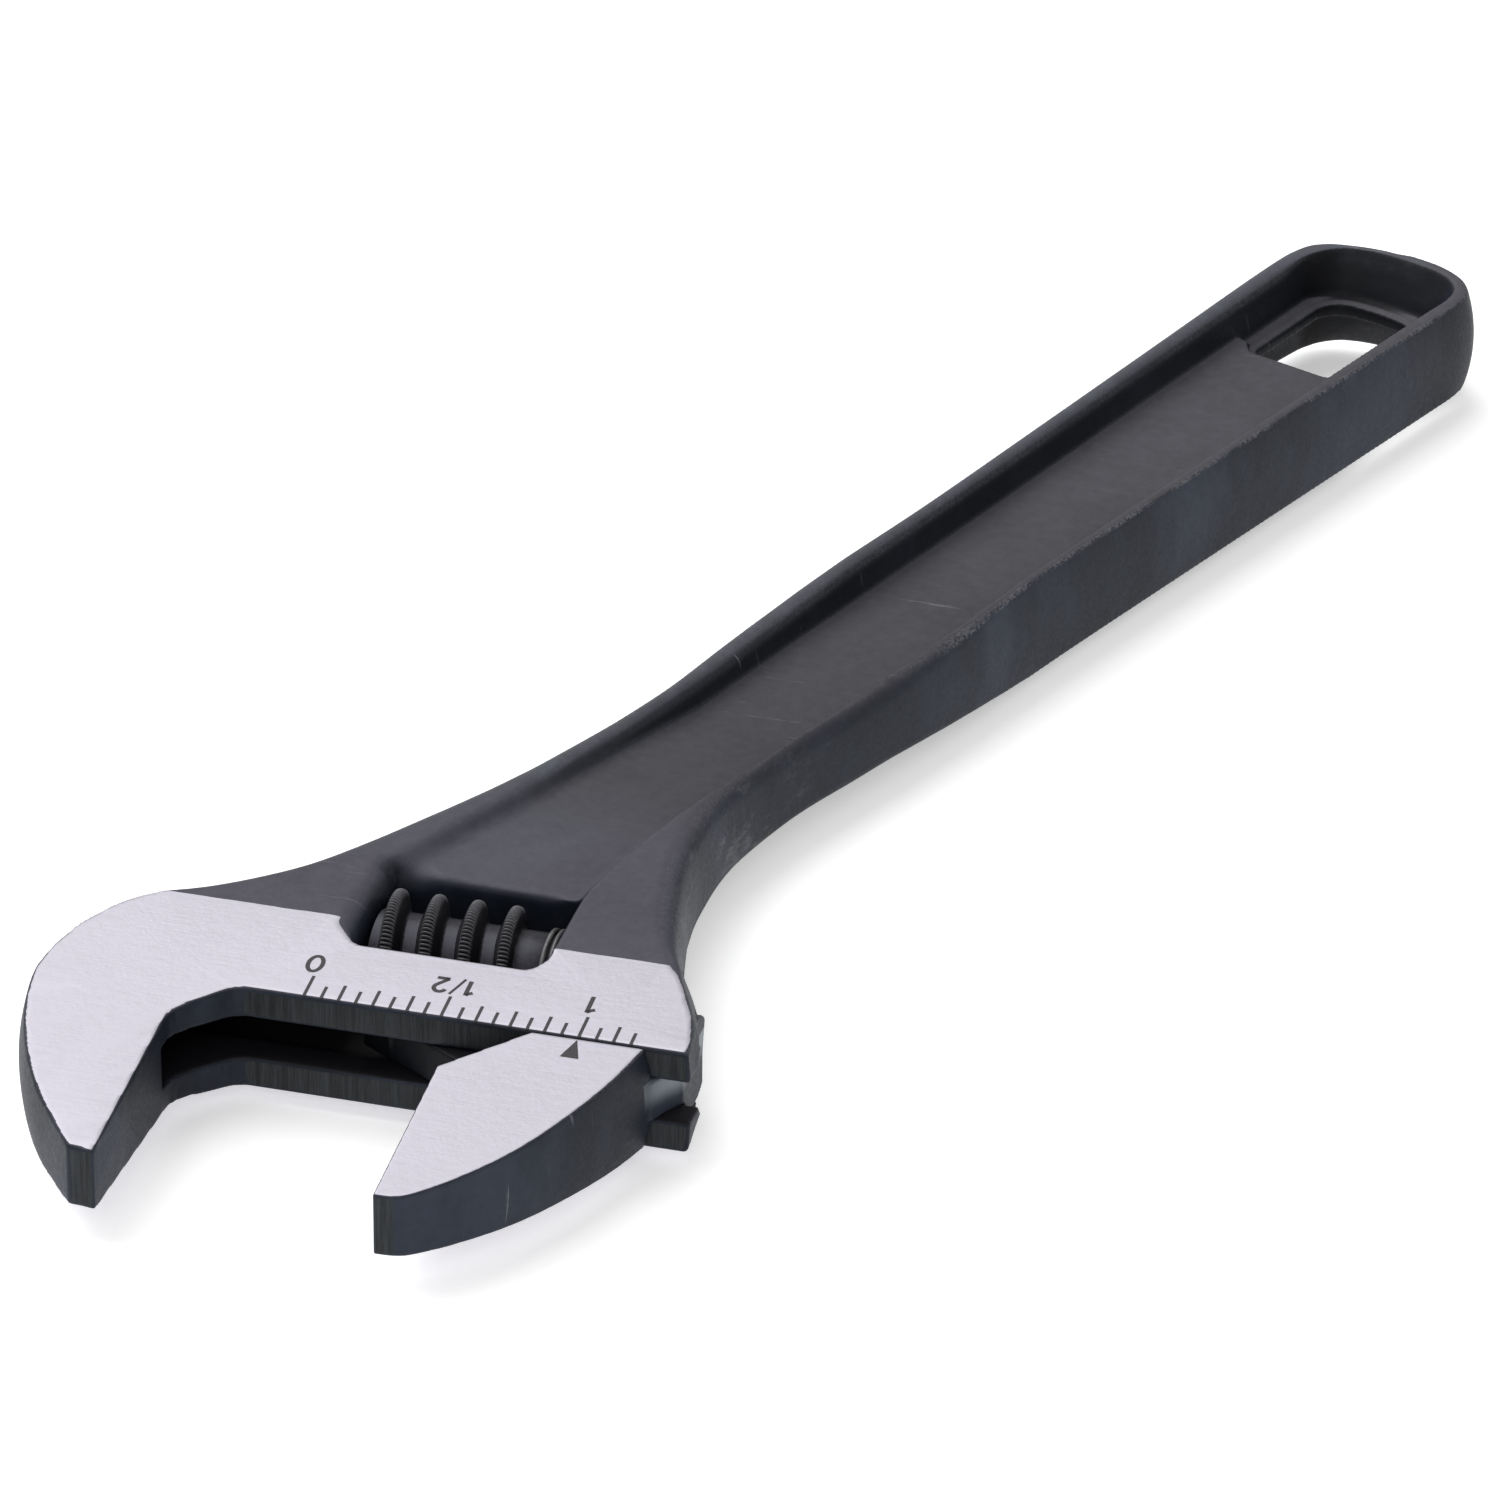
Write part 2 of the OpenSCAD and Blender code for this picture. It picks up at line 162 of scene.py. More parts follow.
def surface_mesh(name, value, origin, step, most_faces):
    """A mesh of the field's zero surface: one vertex in each cell that the surface crosses."""
    inside = value < 0
    corners = [(i, j, k) for i in (0, 1) for j in (0, 1) for k in (0, 1)]

    def shifted(a, c):
        """The grid as seen from one corner of every cell."""
        return a[c[0]:a.shape[0] - 1 + c[0], c[1]:a.shape[1] - 1 + c[1], c[2]:a.shape[2] - 1 + c[2]]

    count = sum(shifted(inside, c).astype(np.int8) for c in corners)
    ix, iy, iz = np.nonzero((count > 0) & (count < 8))
    index = np.full(count.shape, -1, np.int32)
    index[ix, iy, iz] = np.arange(len(ix))
    total, hits = np.zeros((len(ix), 3)), np.zeros(len(ix))
    for c in corners:
        for axis in range(3):
            if c[axis]:
                continue
            d = list(c)
            d[axis] = 1
            va = value[ix + c[0], iy + c[1], iz + c[2]]
            vb = value[ix + d[0], iy + d[1], iz + d[2]]
            hit = (va < 0) != (vb < 0)
            t = np.where(hit, va / np.where(hit, va - vb, 1), 0)
            for k in range(3):
                total[:, k] += np.where(hit, c[k] + (t if k == axis else 0), 0)
            hits += hit
    spots = (np.stack([ix, iy, iz], 1) + total / hits[:, None]) * step + np.array(origin)
    spots[:, 1] += jaw_mid
    spots *= MM

    quads = []
    for axis in range(3):
        u, v = (axis + 1) % 3, (axis + 2) % 3
        first = [slice(None)] * 3
        second = [slice(None)] * 3
        first[axis], second[axis] = slice(0, -1), slice(1, None)
        a, b = inside[tuple(first)], inside[tuple(second)]
        for up in (True, False):
            at = np.stack(np.nonzero(a & ~b if up else b & ~a), 1)
            at = at[(at[:, u] > 0) & (at[:, v] > 0)]
            cell = []
            for du, dv in ((1, 1), (0, 1), (0, 0), (1, 0)):
                p = at.copy()
                p[:, u] -= du
                p[:, v] -= dv
                ok = (p < np.array(count.shape)).all(1)
                p = np.minimum(p, np.array(count.shape) - 1)
                cell.append(np.where(ok, index[p[:, 0], p[:, 1], p[:, 2]], -1))
            quad = np.stack(cell, 1)
            if up:
                quad = quad[:, ::-1]
            quads.append(quad[(quad >= 0).all(1)])
    quads = np.concatenate(quads)[:, ::-1]

    mesh = bpy.data.meshes.new(name)
    mesh.vertices.add(len(spots))
    mesh.vertices.foreach_set("co", spots.astype(np.float32).ravel())
    mesh.loops.add(quads.size)
    mesh.loops.foreach_set("vertex_index", quads.astype(np.int32).ravel())
    mesh.polygons.add(len(quads))
    mesh.polygons.foreach_set("loop_start", np.arange(0, quads.size, 4, dtype=np.int32))
    mesh.update(calc_edges=True)
    mesh.validate()
    shade_smooth(mesh)
    thing = new_object(name, mesh)
    if 2 * len(quads) > most_faces:
        thin = thing.modifiers.new("thin", "DECIMATE")
        thin.ratio = most_faces / (2 * len(quads))
        apply_modifiers(thing)
        shade_smooth(thing.data)
    return thing


def apply_modifiers(thing):
    """Bake the modifiers into the mesh."""
    graph = bpy.context.evaluated_depsgraph_get()
    done = bpy.data.meshes.new_from_object(thing.evaluated_get(graph))
    old = thing.data
    thing.modifiers.clear()
    thing.data = done
    bpy.data.meshes.remove(old)


def lattice(low, high, step):
    """Axes of a grid that is mirrored about Z = 0, with z only on the upper half."""
    x = np.arange(low[0], high[0] + step, step, dtype=np.float32)
    y = np.arange(low[1], high[1] + step, step, dtype=np.float32)
    z = (np.arange(math.ceil(high[2] / step)) + 0.5).astype(np.float32) * step
    return x[:, None, None], y[None, :, None], z[None, None, :]


def whole(field):
    """Both halves of a field that was worked out above Z = 0 only."""
    return np.concatenate([field[:, :, ::-1], field], 2)


def plane_distance(outline, x, y):
    """The outline's distance over the grid's plane, ready to be stretched along Z."""
    gx, gy = np.broadcast_arrays(x[:, :, 0], y[:, :, 0])
    return outline_distance(outline, gx, gy)[:, :, None]


# ---- Outlines -------------------------------------------------------------------------------

right_grip = [(48, 7.5), (58, 8.05), (70, 8.5), (80, 8.5), (92, 8.55), (110, 8.92), (130, 9.38), (151, 9.87)]
left_grip = [(48, 7.85), (58, 8.35), (70, 8.65), (80, 8.6)] + right_grip[4:]
left_corner = [
    (handle_len - 5.1, 9.5), (handle_len - 2.6, 7.95), (handle_len - 1.2, 5.4), (handle_len - 0.2, 2.2),
]
right_corner = [
    (handle_len - 5.4, 9.9), (handle_len - 2.9, 9.2), (handle_len - 1.1, 7.4),
    (handle_len - 0.1, 4.6), (handle_len + 0.1, 1.6),
]
right_head = [
    (46.5, -3), (46.3, 0.6), (45.3, 5.6), (42.4, 12.3), (40, 18.4),
    (38.2, 25.6), (37.1, 31.6), (36.7, 38), (37.5, 46.6),
]
left_head = [
    (21.5, 50.8), (17.05, 41.45), (12.35, 33.05), (8.55, 26.85), (4.65, 21.5), (0.3, 17.35), (-4.3, 14),
    (-8.4, 11.2), (-11.8, 6.2), (-13.4, 0), (-12.9, -5.2), (-11.2, -10.7), (-8, -17.6),
    (-5, -22.4), (-2.5, 0.4 - jaw_reach),
]
forging = np.concatenate([smooth_line(
    right_head + [tuple(p) for p in on_handle([(s, -w) for s, w in right_grip + right_corner])]
    + [tuple(p) for p in on_handle((left_grip + left_corner)[::-1])] + left_head, 6), [(0.5, -jaw_reach)]])

pocket_left = [(12, 7.1), (24, 6.6), (48, 6.3), (62, 6.6), (80, 6.85), (100, 7.05), (125, 7.45), (151, 7.8)]
pocket_right = [
    (7.5, -11.8), (11.2, -10.4), (14.5, -9.5), (19.5, -8.7), (29.5, -7.4), (38, -7),
    (48, -6.9), (62, -7.25), (80, -7.5), (100, -7.7), (125, -8.1), (151, -8.45),
]
pocket_left_corner = [
    (handle_len - 6.1, 7.8), (handle_len - 3.2, 6.5), (handle_len - 1.7, 4.3), (handle_len - 1.1, 1.6),
]
pocket_right_corner = [
    (handle_len - 5.9, 8.6), (handle_len - 3.1, 7.9), (handle_len - 1.5, 5.8), (handle_len - 1, 2.8),
]
pocket = on_handle(
    [(2.5, -13.9)]
    + [tuple(p) for p in smooth_line(pocket_right + [(s, -w) for s, w in pocket_right_corner]
                                     + pocket_left_corner[::-1] + pocket_left[::-1], 5)]
    + [(5.5, 7.6)])

mouth = np.array([
    (0, -60), (0, -6.4), (0.12, -5.4), (0.5, -4.6), (1.4, -3.4), (3.7, -1), (4.5, -0.35), (5.6, 0),
    (120, 0), (120, -60),
], float)
web_slot = np.array([
    (0, -7.1), (-rack_left - 0.5, -0.75), (-rack_left - 0.5, 4.7), (0.4 - rack_left, rack_y),
    (120, rack_y), (120, -7.1),
], float)


# ---- Forging --------------------------------------------------------------------------------

def forging_field(step):
    """The body with its hollow, window, hanging hole, slot and bores, and the grid's corner."""
    x, y, z = lattice((-16, -28, 0), (85, 169, 7.2), step)
    s, c = math.sin(handle_angle), math.cos(handle_angle)
    along = (x - handle_foot[0]) * s + (y - handle_foot[1]) * c
    left = (y - handle_foot[1]) * s - (x - handle_foot[0]) * c
    out = plane_distance(forging, x, y)

    # Thickness: the head tapers to the jaw's tip, and the neck is thinner than the grip.
    half = np.interp(y[0, :, 0], [-60, guide_back, 30, 46, 56, 70, 80, 91, 300],
                     [guide_half - 60 * head_taper, back_half, back_half - 0.55, neck_half + 0.35,
                      neck_half, neck_half + 0.1, neck_half + 0.45, grip_half, grip_half]
                     ).astype(np.float32)[None, :, None]
    on_head = 1 - ramp(y, guide_back - 0.6, guide_back + 2.5)
    right_cheek = on_head * ramp(x, 34, 44) * (1.1 * ramp(y, 0, 6) - 0.6)
    bulge = (0.9 + right_cheek) * np.clip((y + jaw_reach) / 12, 0, 1)
    sides = out - bulge * (1 - (z / 5.4) ** 2)
    neck_right = ramp(along, 2, 14) * (1 - ramp(along, 58, 86)) * ramp(-left, 0, 4)
    rim = 0.25 + 0.55 * ramp(left, -1, 1) + 1.5 * neck_right
    rim = rim * (1 - on_head) + 0.15 * on_head
    rim = rim + 0.9 * ramp(y, 10.9, 12.9) * on_head * ramp(x, 38, 41)
    solid = both(sides, z - half, rim)

    # The hollow of the grip, with drafted walls and a web that thickens towards the head.
    hollow = plane_distance(pocket, x, y)
    slope = 0.18 + 0.5 * ramp(along, handle_len - 8, handle_len - 3)
    draft = hollow + slope * (half - z)
    floor = web_half + np.clip(50 - along, 0, 60) * math.tan(math.radians(4)) - z
    floor = floor - hang_step * ramp(along, hang_start + 2, hang_start + 3.4)
    bowl = both(draft, floor, 0.3 + 1.1 * (1 - ramp(along, 20, 60)))
    lip = 0.2 + 1.0 * ramp(left, -2, 2) * (1 - ramp(along, handle_len - 12, handle_len - 5))
    solid = cut(solid, bowl, lip)

    # The knurl's window: crisp at the front and right, scooped at the left and rear.
    x0, x1, y0, y1 = window
    plan = plane_distance(np.array([
        (x0, y0 + 1), (x0 + 0.3, y0 + 0.3), (x0 + 1, y0), (x1 - 1.6, y0), (x1 - 0.9, y0 + 0.4),
        (x1 - 0.2, y0 + 1.7), (x1, y0 + 2.8), (x1, y1), (x0, y1)]), x, y)
    inner = np.where(z < window_lip, window_inner - y, -99)
    scoop = 0.15 + 2.4 * ramp(y, 8.7, 12.2) * (1 - ramp(x, 13.5, 17))
    scoop = np.minimum(scoop + 0.9 * ramp(y, 19, 22.5) * (1 - ramp(x, 27, 29)), 2.5)
    solid = cut(solid, np.maximum(plan, inner), scoop)

    hang = outline_distance_hang(along, left)
    # A shallow step runs round its far half.
    solid = cut(solid, both(hang - 0.9, web_half - hang_step - 0.3 - z, 0.2), 0.15)
    solid = cut(solid, hang + 0 * z, 0.2)

    # Machined cuts, all crisp.
    solid = cut(solid, plane_distance(mouth, x, y) + 0 * z, 0.12)
    solid = np.maximum(solid, -np.maximum(plane_distance(web_slot, x, y), z - slot_half))
    bore = np.sqrt((y - rack_y) ** 2 + z ** 2) - np.minimum(rack_r + 0.07, x + rack_left + 1.45)
    solid = np.maximum(solid, -np.maximum(bore, -rack_left - 0.2 - x))
    pin = np.sqrt((y - knurl_y) ** 2 + z ** 2)
    solid = np.maximum(solid, -np.maximum(pin - pin_r - 0.02, pin_left - x))
    solid = np.maximum(solid, -np.maximum(pin - head_r - 0.1, head_seat - x))
    return whole(solid.astype(np.float32)), (float(x[0, 0, 0]), float(y[0, 0, 0]))


def outline_distance_hang(along, left):
    """The hang hole in plan: a round near end, straight sides and a gently curved far end."""
    near_r, far_r, corner = 6.1, 19, 2.2
    rounded = both(np.abs(left) - hang_w, hang_start + 1.6 - along, 1.2)
    near = np.sqrt((along - hang_start - near_r) ** 2 + left ** 2) - near_r
    front = np.where(along < hang_start + near_r, np.maximum(near, rounded), rounded)
    far = np.sqrt((along - hang_end + far_r) ** 2 + left ** 2) - far_r
    return both(front, far, corner)


# ---- Movable jaw ----------------------------------------------------------------------------

jaw_back = [
    (0, -jaw_reach), (1.9, 0.15 - jaw_reach), (3.4, 1 - jaw_reach), (6.3, -22.4),
    (9.9, -17.5), (13.15, -11.3), (15.6, -5.4), (17.3, 0.5),
]
jaw_outline = np.concatenate([smooth_line(jaw_back, 6), [(17, 3), (-2, 3), (-2, -jaw_reach)]])
web_outline = np.array([
    (3.8, -3.7), (-rack_left, 4.65), (1 - rack_left, rack_y), (rack_right, rack_y), (rack_right, 2.9),
    (18.6, 1), (17.9, -0.6), (15, -3), (8, -3.7),
], float)
# The face stands 0.02 mm back, so that the closed jaws meet without sharing a plane
block_front = np.array([(0.02, -60), (60, -60), (60, -0.1), (6.7, -0.1), (0.02, -7)], float)


def jaw_field(step):
    """The jaw as it lies when closed, with its web and toothed rack, and the grid's corner."""
    x, y, z = lattice((-12.5, -28, 0), (22.5, 13, 6), step)
    half = guide_half + head_taper * y
    bulge = 0.7 * np.clip((y + jaw_reach) / 12, 0, 1)
    sides = plane_distance(jaw_outline, x, y) - bulge * (1 - (z / 4.8) ** 2)
    block = both(sides, z - half, 0.22)
    block = both(block, plane_distance(block_front, x, y) + 0 * z, 0.12)
    web = both(plane_distance(web_outline, x, y) + 0 * z, z - slot_half + 0.1, 0.15)
    plain = np.minimum(block, web)

    # The round rack, coned at its closed end
    r = np.sqrt((y - rack_y) ** 2 + z ** 2)
    rod = np.maximum(r - np.minimum(rack_r, x + rack_left + rack_r - 3), x - rack_right)
    rod = np.maximum(rod, -rack_left - x)

    # Its teeth lean by the worm's lead, so the two halves along Z differ
    lead = pitch / (math.pi * (knurl_r + core_r))
    rise = (root_w - crest_w) / (knurl_r - core_r) / 2
    up = y - (knurl_y - knurl_r - 0.4)
    width = crest_w / 2 + 0.3 - 0.4 * rise + np.maximum(up, 0) * rise
    first = mesh_x - opening
    halves = []
    for side in (-1, 1):
        lean = (x - first + side * lead * z + pitch / 2) % pitch - pitch / 2
        gap = np.maximum(np.abs(lean) - width, -up)
        gap = np.maximum(gap, first - pitch / 2 - x)
        halves.append(np.minimum(plain, cut(rod, gap, 0.1)).astype(np.float32))
    return np.concatenate([halves[0][:, :, ::-1], halves[1]], 2), (float(x[0, 0, 0]), float(y[0, 0, 0]))


# ---- Worm, pin and spring -------------------------------------------------------------------

def grid_mesh(name, rows, cap=True):
    """A mesh over rows of points. Each row is a ring, and the first and last may be capped."""
    rings, n = rows.shape[:2]
    mesh = bpy.data.meshes.new(name)
    verts = rows.reshape(-1, 3)
    i, k = np.meshgrid(np.arange(rings - 1), np.arange(n), indexing="ij")
    m = (k + 1) % n
    faces = np.stack([i * n + k, i * n + m, (i + 1) * n + m, (i + 1) * n + k], -1).reshape(-1, 4).tolist()
    if cap:
        faces.append(list(range(n - 1, -1, -1)))
        faces.append(list(range((rings - 1) * n, rings * n)))
    mesh.from_pydata(verts.tolist(), [], faces)
    mesh.update()
    work = bmesh.new()
    work.from_mesh(mesh)
    bmesh.ops.recalc_face_normals(work, faces=work.faces)
    work.to_mesh(mesh)
    work.free()
    shade_smooth(mesh)
    return new_object(name, mesh)


def knurl_piece():
    """The worm: a helical ridge with pressed serrations on its crest, then a smooth boss."""
    around = 1200
    a = np.linspace(0, 2 * np.pi, around, endpoint=False)
    xs = np.unique(np.concatenate([
        np.arange(knurl_start, thread_end, 0.09),
        np.array([thread_end - 0.001, thread_end, thread_end + 0.06, knurl_end - 0.25, knurl_end]),
    ]))
    rows = []
    for x in xs:
        # How far this point is from the middle of the ridge, along the axis
        turn = (x - mesh_x) / pitch * 2 * np.pi + np.pi
        off = ((a - turn + np.pi) % (2 * np.pi) - np.pi) / (2 * np.pi) * pitch
        slope = (root_w - crest_w) / 2 / (knurl_r - core_r)
        height = np.clip((crest_w / 2 - np.abs(off)) / slope + knurl_r, core_r, knurl_r)
        # The ridge's centre along the axis, which fades out at both ends
        centre = x - off
        to_end = np.minimum(centre - knurl_start, thread_end - centre) - crest_w / 2
        fade = np.clip(to_end / 0.35 + 1, 0, 1)
        r = core_r + (height - core_r) * fade
        crest = np.clip((r - knurl_r + 0.35) / 0.35, 0, 1)
        across = np.clip((crest_w / 2 - np.abs(off)) / 0.3, 0, 1)
        wave = 0.5 + 0.5 * np.cos(a * serrations)
        r = r - crest * (0.3 * wave ** 1.5 + 0.08 * (1 - across))
        if x < knurl_start + 0.3:
            r = np.minimum(r, core_r)
        if x >= thread_end:
            r = np.full_like(a, core_r)
        if x > knurl_end - 0.05:
            r = np.full_like(a, core_r - 0.25)
        rows.append(np.stack([np.full_like(a, x), knurl_y + jaw_mid + r * np.cos(a), r * np.sin(a)], 1))
    bore = pin_r + 0.05
    for x in (knurl_end, knurl_start):
        rows.append(np.stack([np.full_like(a, x), knurl_y + jaw_mid + bore * np.cos(a), bore * np.sin(a)], 1))
    rows.append(rows[0])
    return grid_mesh("knurl_worm", np.array(rows) * MM, cap=False)


def spring_piece():
    """A close coil round the end of the knurl's core."""
    turns, steps, sides, coil = 1.8, 64, 12, core_r + wire_r + 0.06
    start, end = spring_start, window[1] - wire_r - 0.05
    n = int(turns * steps)
    t = np.linspace(0, 1, n + 1)[:, None]
    b = np.linspace(0, 2 * np.pi, sides, endpoint=False)[None, :]
    a = t * turns * 2 * np.pi
    r = coil + wire_r * np.cos(b)
    rows = np.stack([start + (end - start) * t + wire_r * np.sin(b) + 0 * a,
                     knurl_y + jaw_mid + r * np.cos(a), r * np.sin(a)], -1)
    return grid_mesh("spring_coil", rows * MM)


# ---- Materials ------------------------------------------------------------------------------

class Nodes:
    """A short way to build a material's nodes."""

    def __init__(self, name):
        self.material = bpy.data.materials.new(name)
        self.material.use_nodes = True
        self.tree = self.material.node_tree
        self.shader = self.tree.nodes["Principled BSDF"]
        self.place = self.add("ShaderNodeTexCoord").outputs["Object"]

    def add(self, kind, **settings):
        """A new node of the kind, with its settings."""
        node = self.tree.nodes.new(kind)
        for key, value in settings.items():
            setattr(node, key, value)
        return node

    def plug(self, value, socket):
        """Lead another node's output to the socket, or give it a plain value."""
        if isinstance(value, bpy.types.NodeSocket):
            self.tree.links.new(value, socket)
        else:
            socket.default_value = value

    def math(self, operation, a, b=0.0):
        """The result of one operation of the Math node."""
        node = self.add("ShaderNodeMath", operation=operation)
        self.plug(a, node.inputs[0])
        self.plug(b, node.inputs[1])
        return node.outputs[0]

    def times(self, first, *factors):
        """The product of all the values."""
        for factor in factors:
            first = self.math("MULTIPLY", first, factor)
        return first

    def remap(self, value, low, high, out_low=0.0, out_high=1.0, smooth=True):
        """value brought from low..high to out_low..out_high, and held at both ends."""
        node = self.add("ShaderNodeMapRange", interpolation_type="SMOOTHSTEP" if smooth else "LINEAR")
        for socket, given in zip(node.inputs[:5], (value, low, high, out_low, out_high)):
            self.plug(given, socket)
        return node.outputs[0]

    def mix(self, amount, a, b):
        """Colour a where amount is 0, and colour b where it is 1."""
        node = self.add("ShaderNodeMix", data_type="RGBA")
        self.plug(amount, node.inputs["Factor"])
        for value, socket in ((a, node.inputs[6]), (b, node.inputs[7])):
            self.plug(value if isinstance(value, bpy.types.NodeSocket) else (*value, 1), socket)
        return node.outputs[2]

    def scaled(self, colour, amount):
        """The colour made brighter or darker by amount."""
        node = self.add("ShaderNodeVectorMath", operation="SCALE")
        self.plug(colour, node.inputs[0])
        self.plug(amount, node.inputs["Scale"])
        return node.outputs[0]

    def within(self, value, low, high):
        """1 between low and high, and 0 elsewhere."""
        above = self.math("GREATER_THAN", value, low)
        return self.math("MULTIPLY", above, self.math("LESS_THAN", value, high))

    def mix_value(self, amount, a, b):
        """The same as mix, for two plain values."""
        node = self.add("ShaderNodeMix", data_type="FLOAT")
        self.plug(amount, node.inputs[0])
        self.plug(a, node.inputs[2])
        self.plug(b, node.inputs[3])
        return node.outputs[0]

    def noise(self, scale, detail=3.0, rough=0.55, stretch=(1, 1, 1), turn=0.0):
        """Noise over the object's own space, in metres, with more cells along a larger stretch."""
        moved = self.add("ShaderNodeMapping")
        self.plug(self.place, moved.inputs["Vector"])
        moved.inputs["Rotation"].default_value = (0, 0, turn)
        moved.inputs["Scale"].default_value = stretch
        node = self.add("ShaderNodeTexNoise")
        self.plug(moved.outputs[0], node.inputs["Vector"])
        node.inputs["Scale"].default_value = scale
        node.inputs["Detail"].default_value = detail
        node.inputs["Roughness"].default_value = rough
        return node.outputs["Fac"]

    def axes(self):
        """The point's x, y and z in the object's space, in metres."""
        node = self.add("ShaderNodeSeparateXYZ")
        self.plug(self.place, node.inputs[0])
        return node.outputs

    def facing(self):
        """The surface normal's x, y and z."""
        node = self.add("ShaderNodeSeparateXYZ")
        self.plug(self.add("ShaderNodeNewGeometry").outputs["Normal"], node.inputs[0])
        return node.outputs

    def bump(self, height, distance, strength=1.0, over=None):
        """A normal that is tilted by height, on top of the normal over."""
        node = self.add("ShaderNodeBump")
        node.inputs["Strength"].default_value = strength
        node.inputs["Distance"].default_value = distance
        self.plug(height, node.inputs["Height"])
        if over is not None:
            self.plug(over, node.inputs["Normal"])
        return node.outputs[0]

    def finish(self, colour, roughness, normal, metallic=0.0, specular=0.5):
        """Plug everything into the shader, and give back the material."""
        self.plug(colour, self.shader.inputs["Base Color"])
        self.plug(roughness, self.shader.inputs["Roughness"])
        self.plug(normal, self.shader.inputs["Normal"])
        self.plug(metallic, self.shader.inputs["Metallic"])
        self.shader.inputs["Specular IOR Level"].default_value = specular
        return self.material


PLATEAU = (0.058, 0.057, 0.067)
SHOULDER = (0.064, 0.062, 0.080)
# The two side colours below stand for painted shade; the second is lighter, for random blotches.
FLANK_SHADE = (0.0085, 0.0115, 0.019)
FLANK_SHADE_BLOTCH = (0.024, 0.030, 0.046)
GROUND = (0.46, 0.445, 0.50)
MILLED = (0.022, 0.025, 0.028)
WORN = (0.20, 0.20, 0.22)
# Near black, painted where shade falls in the slot, the bore and the hollow's far wall.
SHADE_BLACK = (0.003, 0.003, 0.004)
HOLLOW_WALL_SHADE = (0.003, 0.004, 0.006)
# Painted sheen for the left rim, with some real wear in it.
RIM_SHEEN_AND_WEAR = (0.082, 0.088, 0.108)
# Rubbed metal with a painted highlight on the rack's end.
RACK_RUBBED_AND_HIGHLIGHT = (0.20, 0.23, 0.25)
# The thread's flanks, darkened as painted shade.
THREAD_FLANK_SHADE = (0.006, 0.006, 0.008)
THREAD_CREST = (0.085, 0.085, 0.095)
THREAD_PRESSED = (0.004, 0.004, 0.005)
THREAD_CORE = (0.038, 0.038, 0.047)
EDGE_GREY = (0.2, 0.2, 0.2)


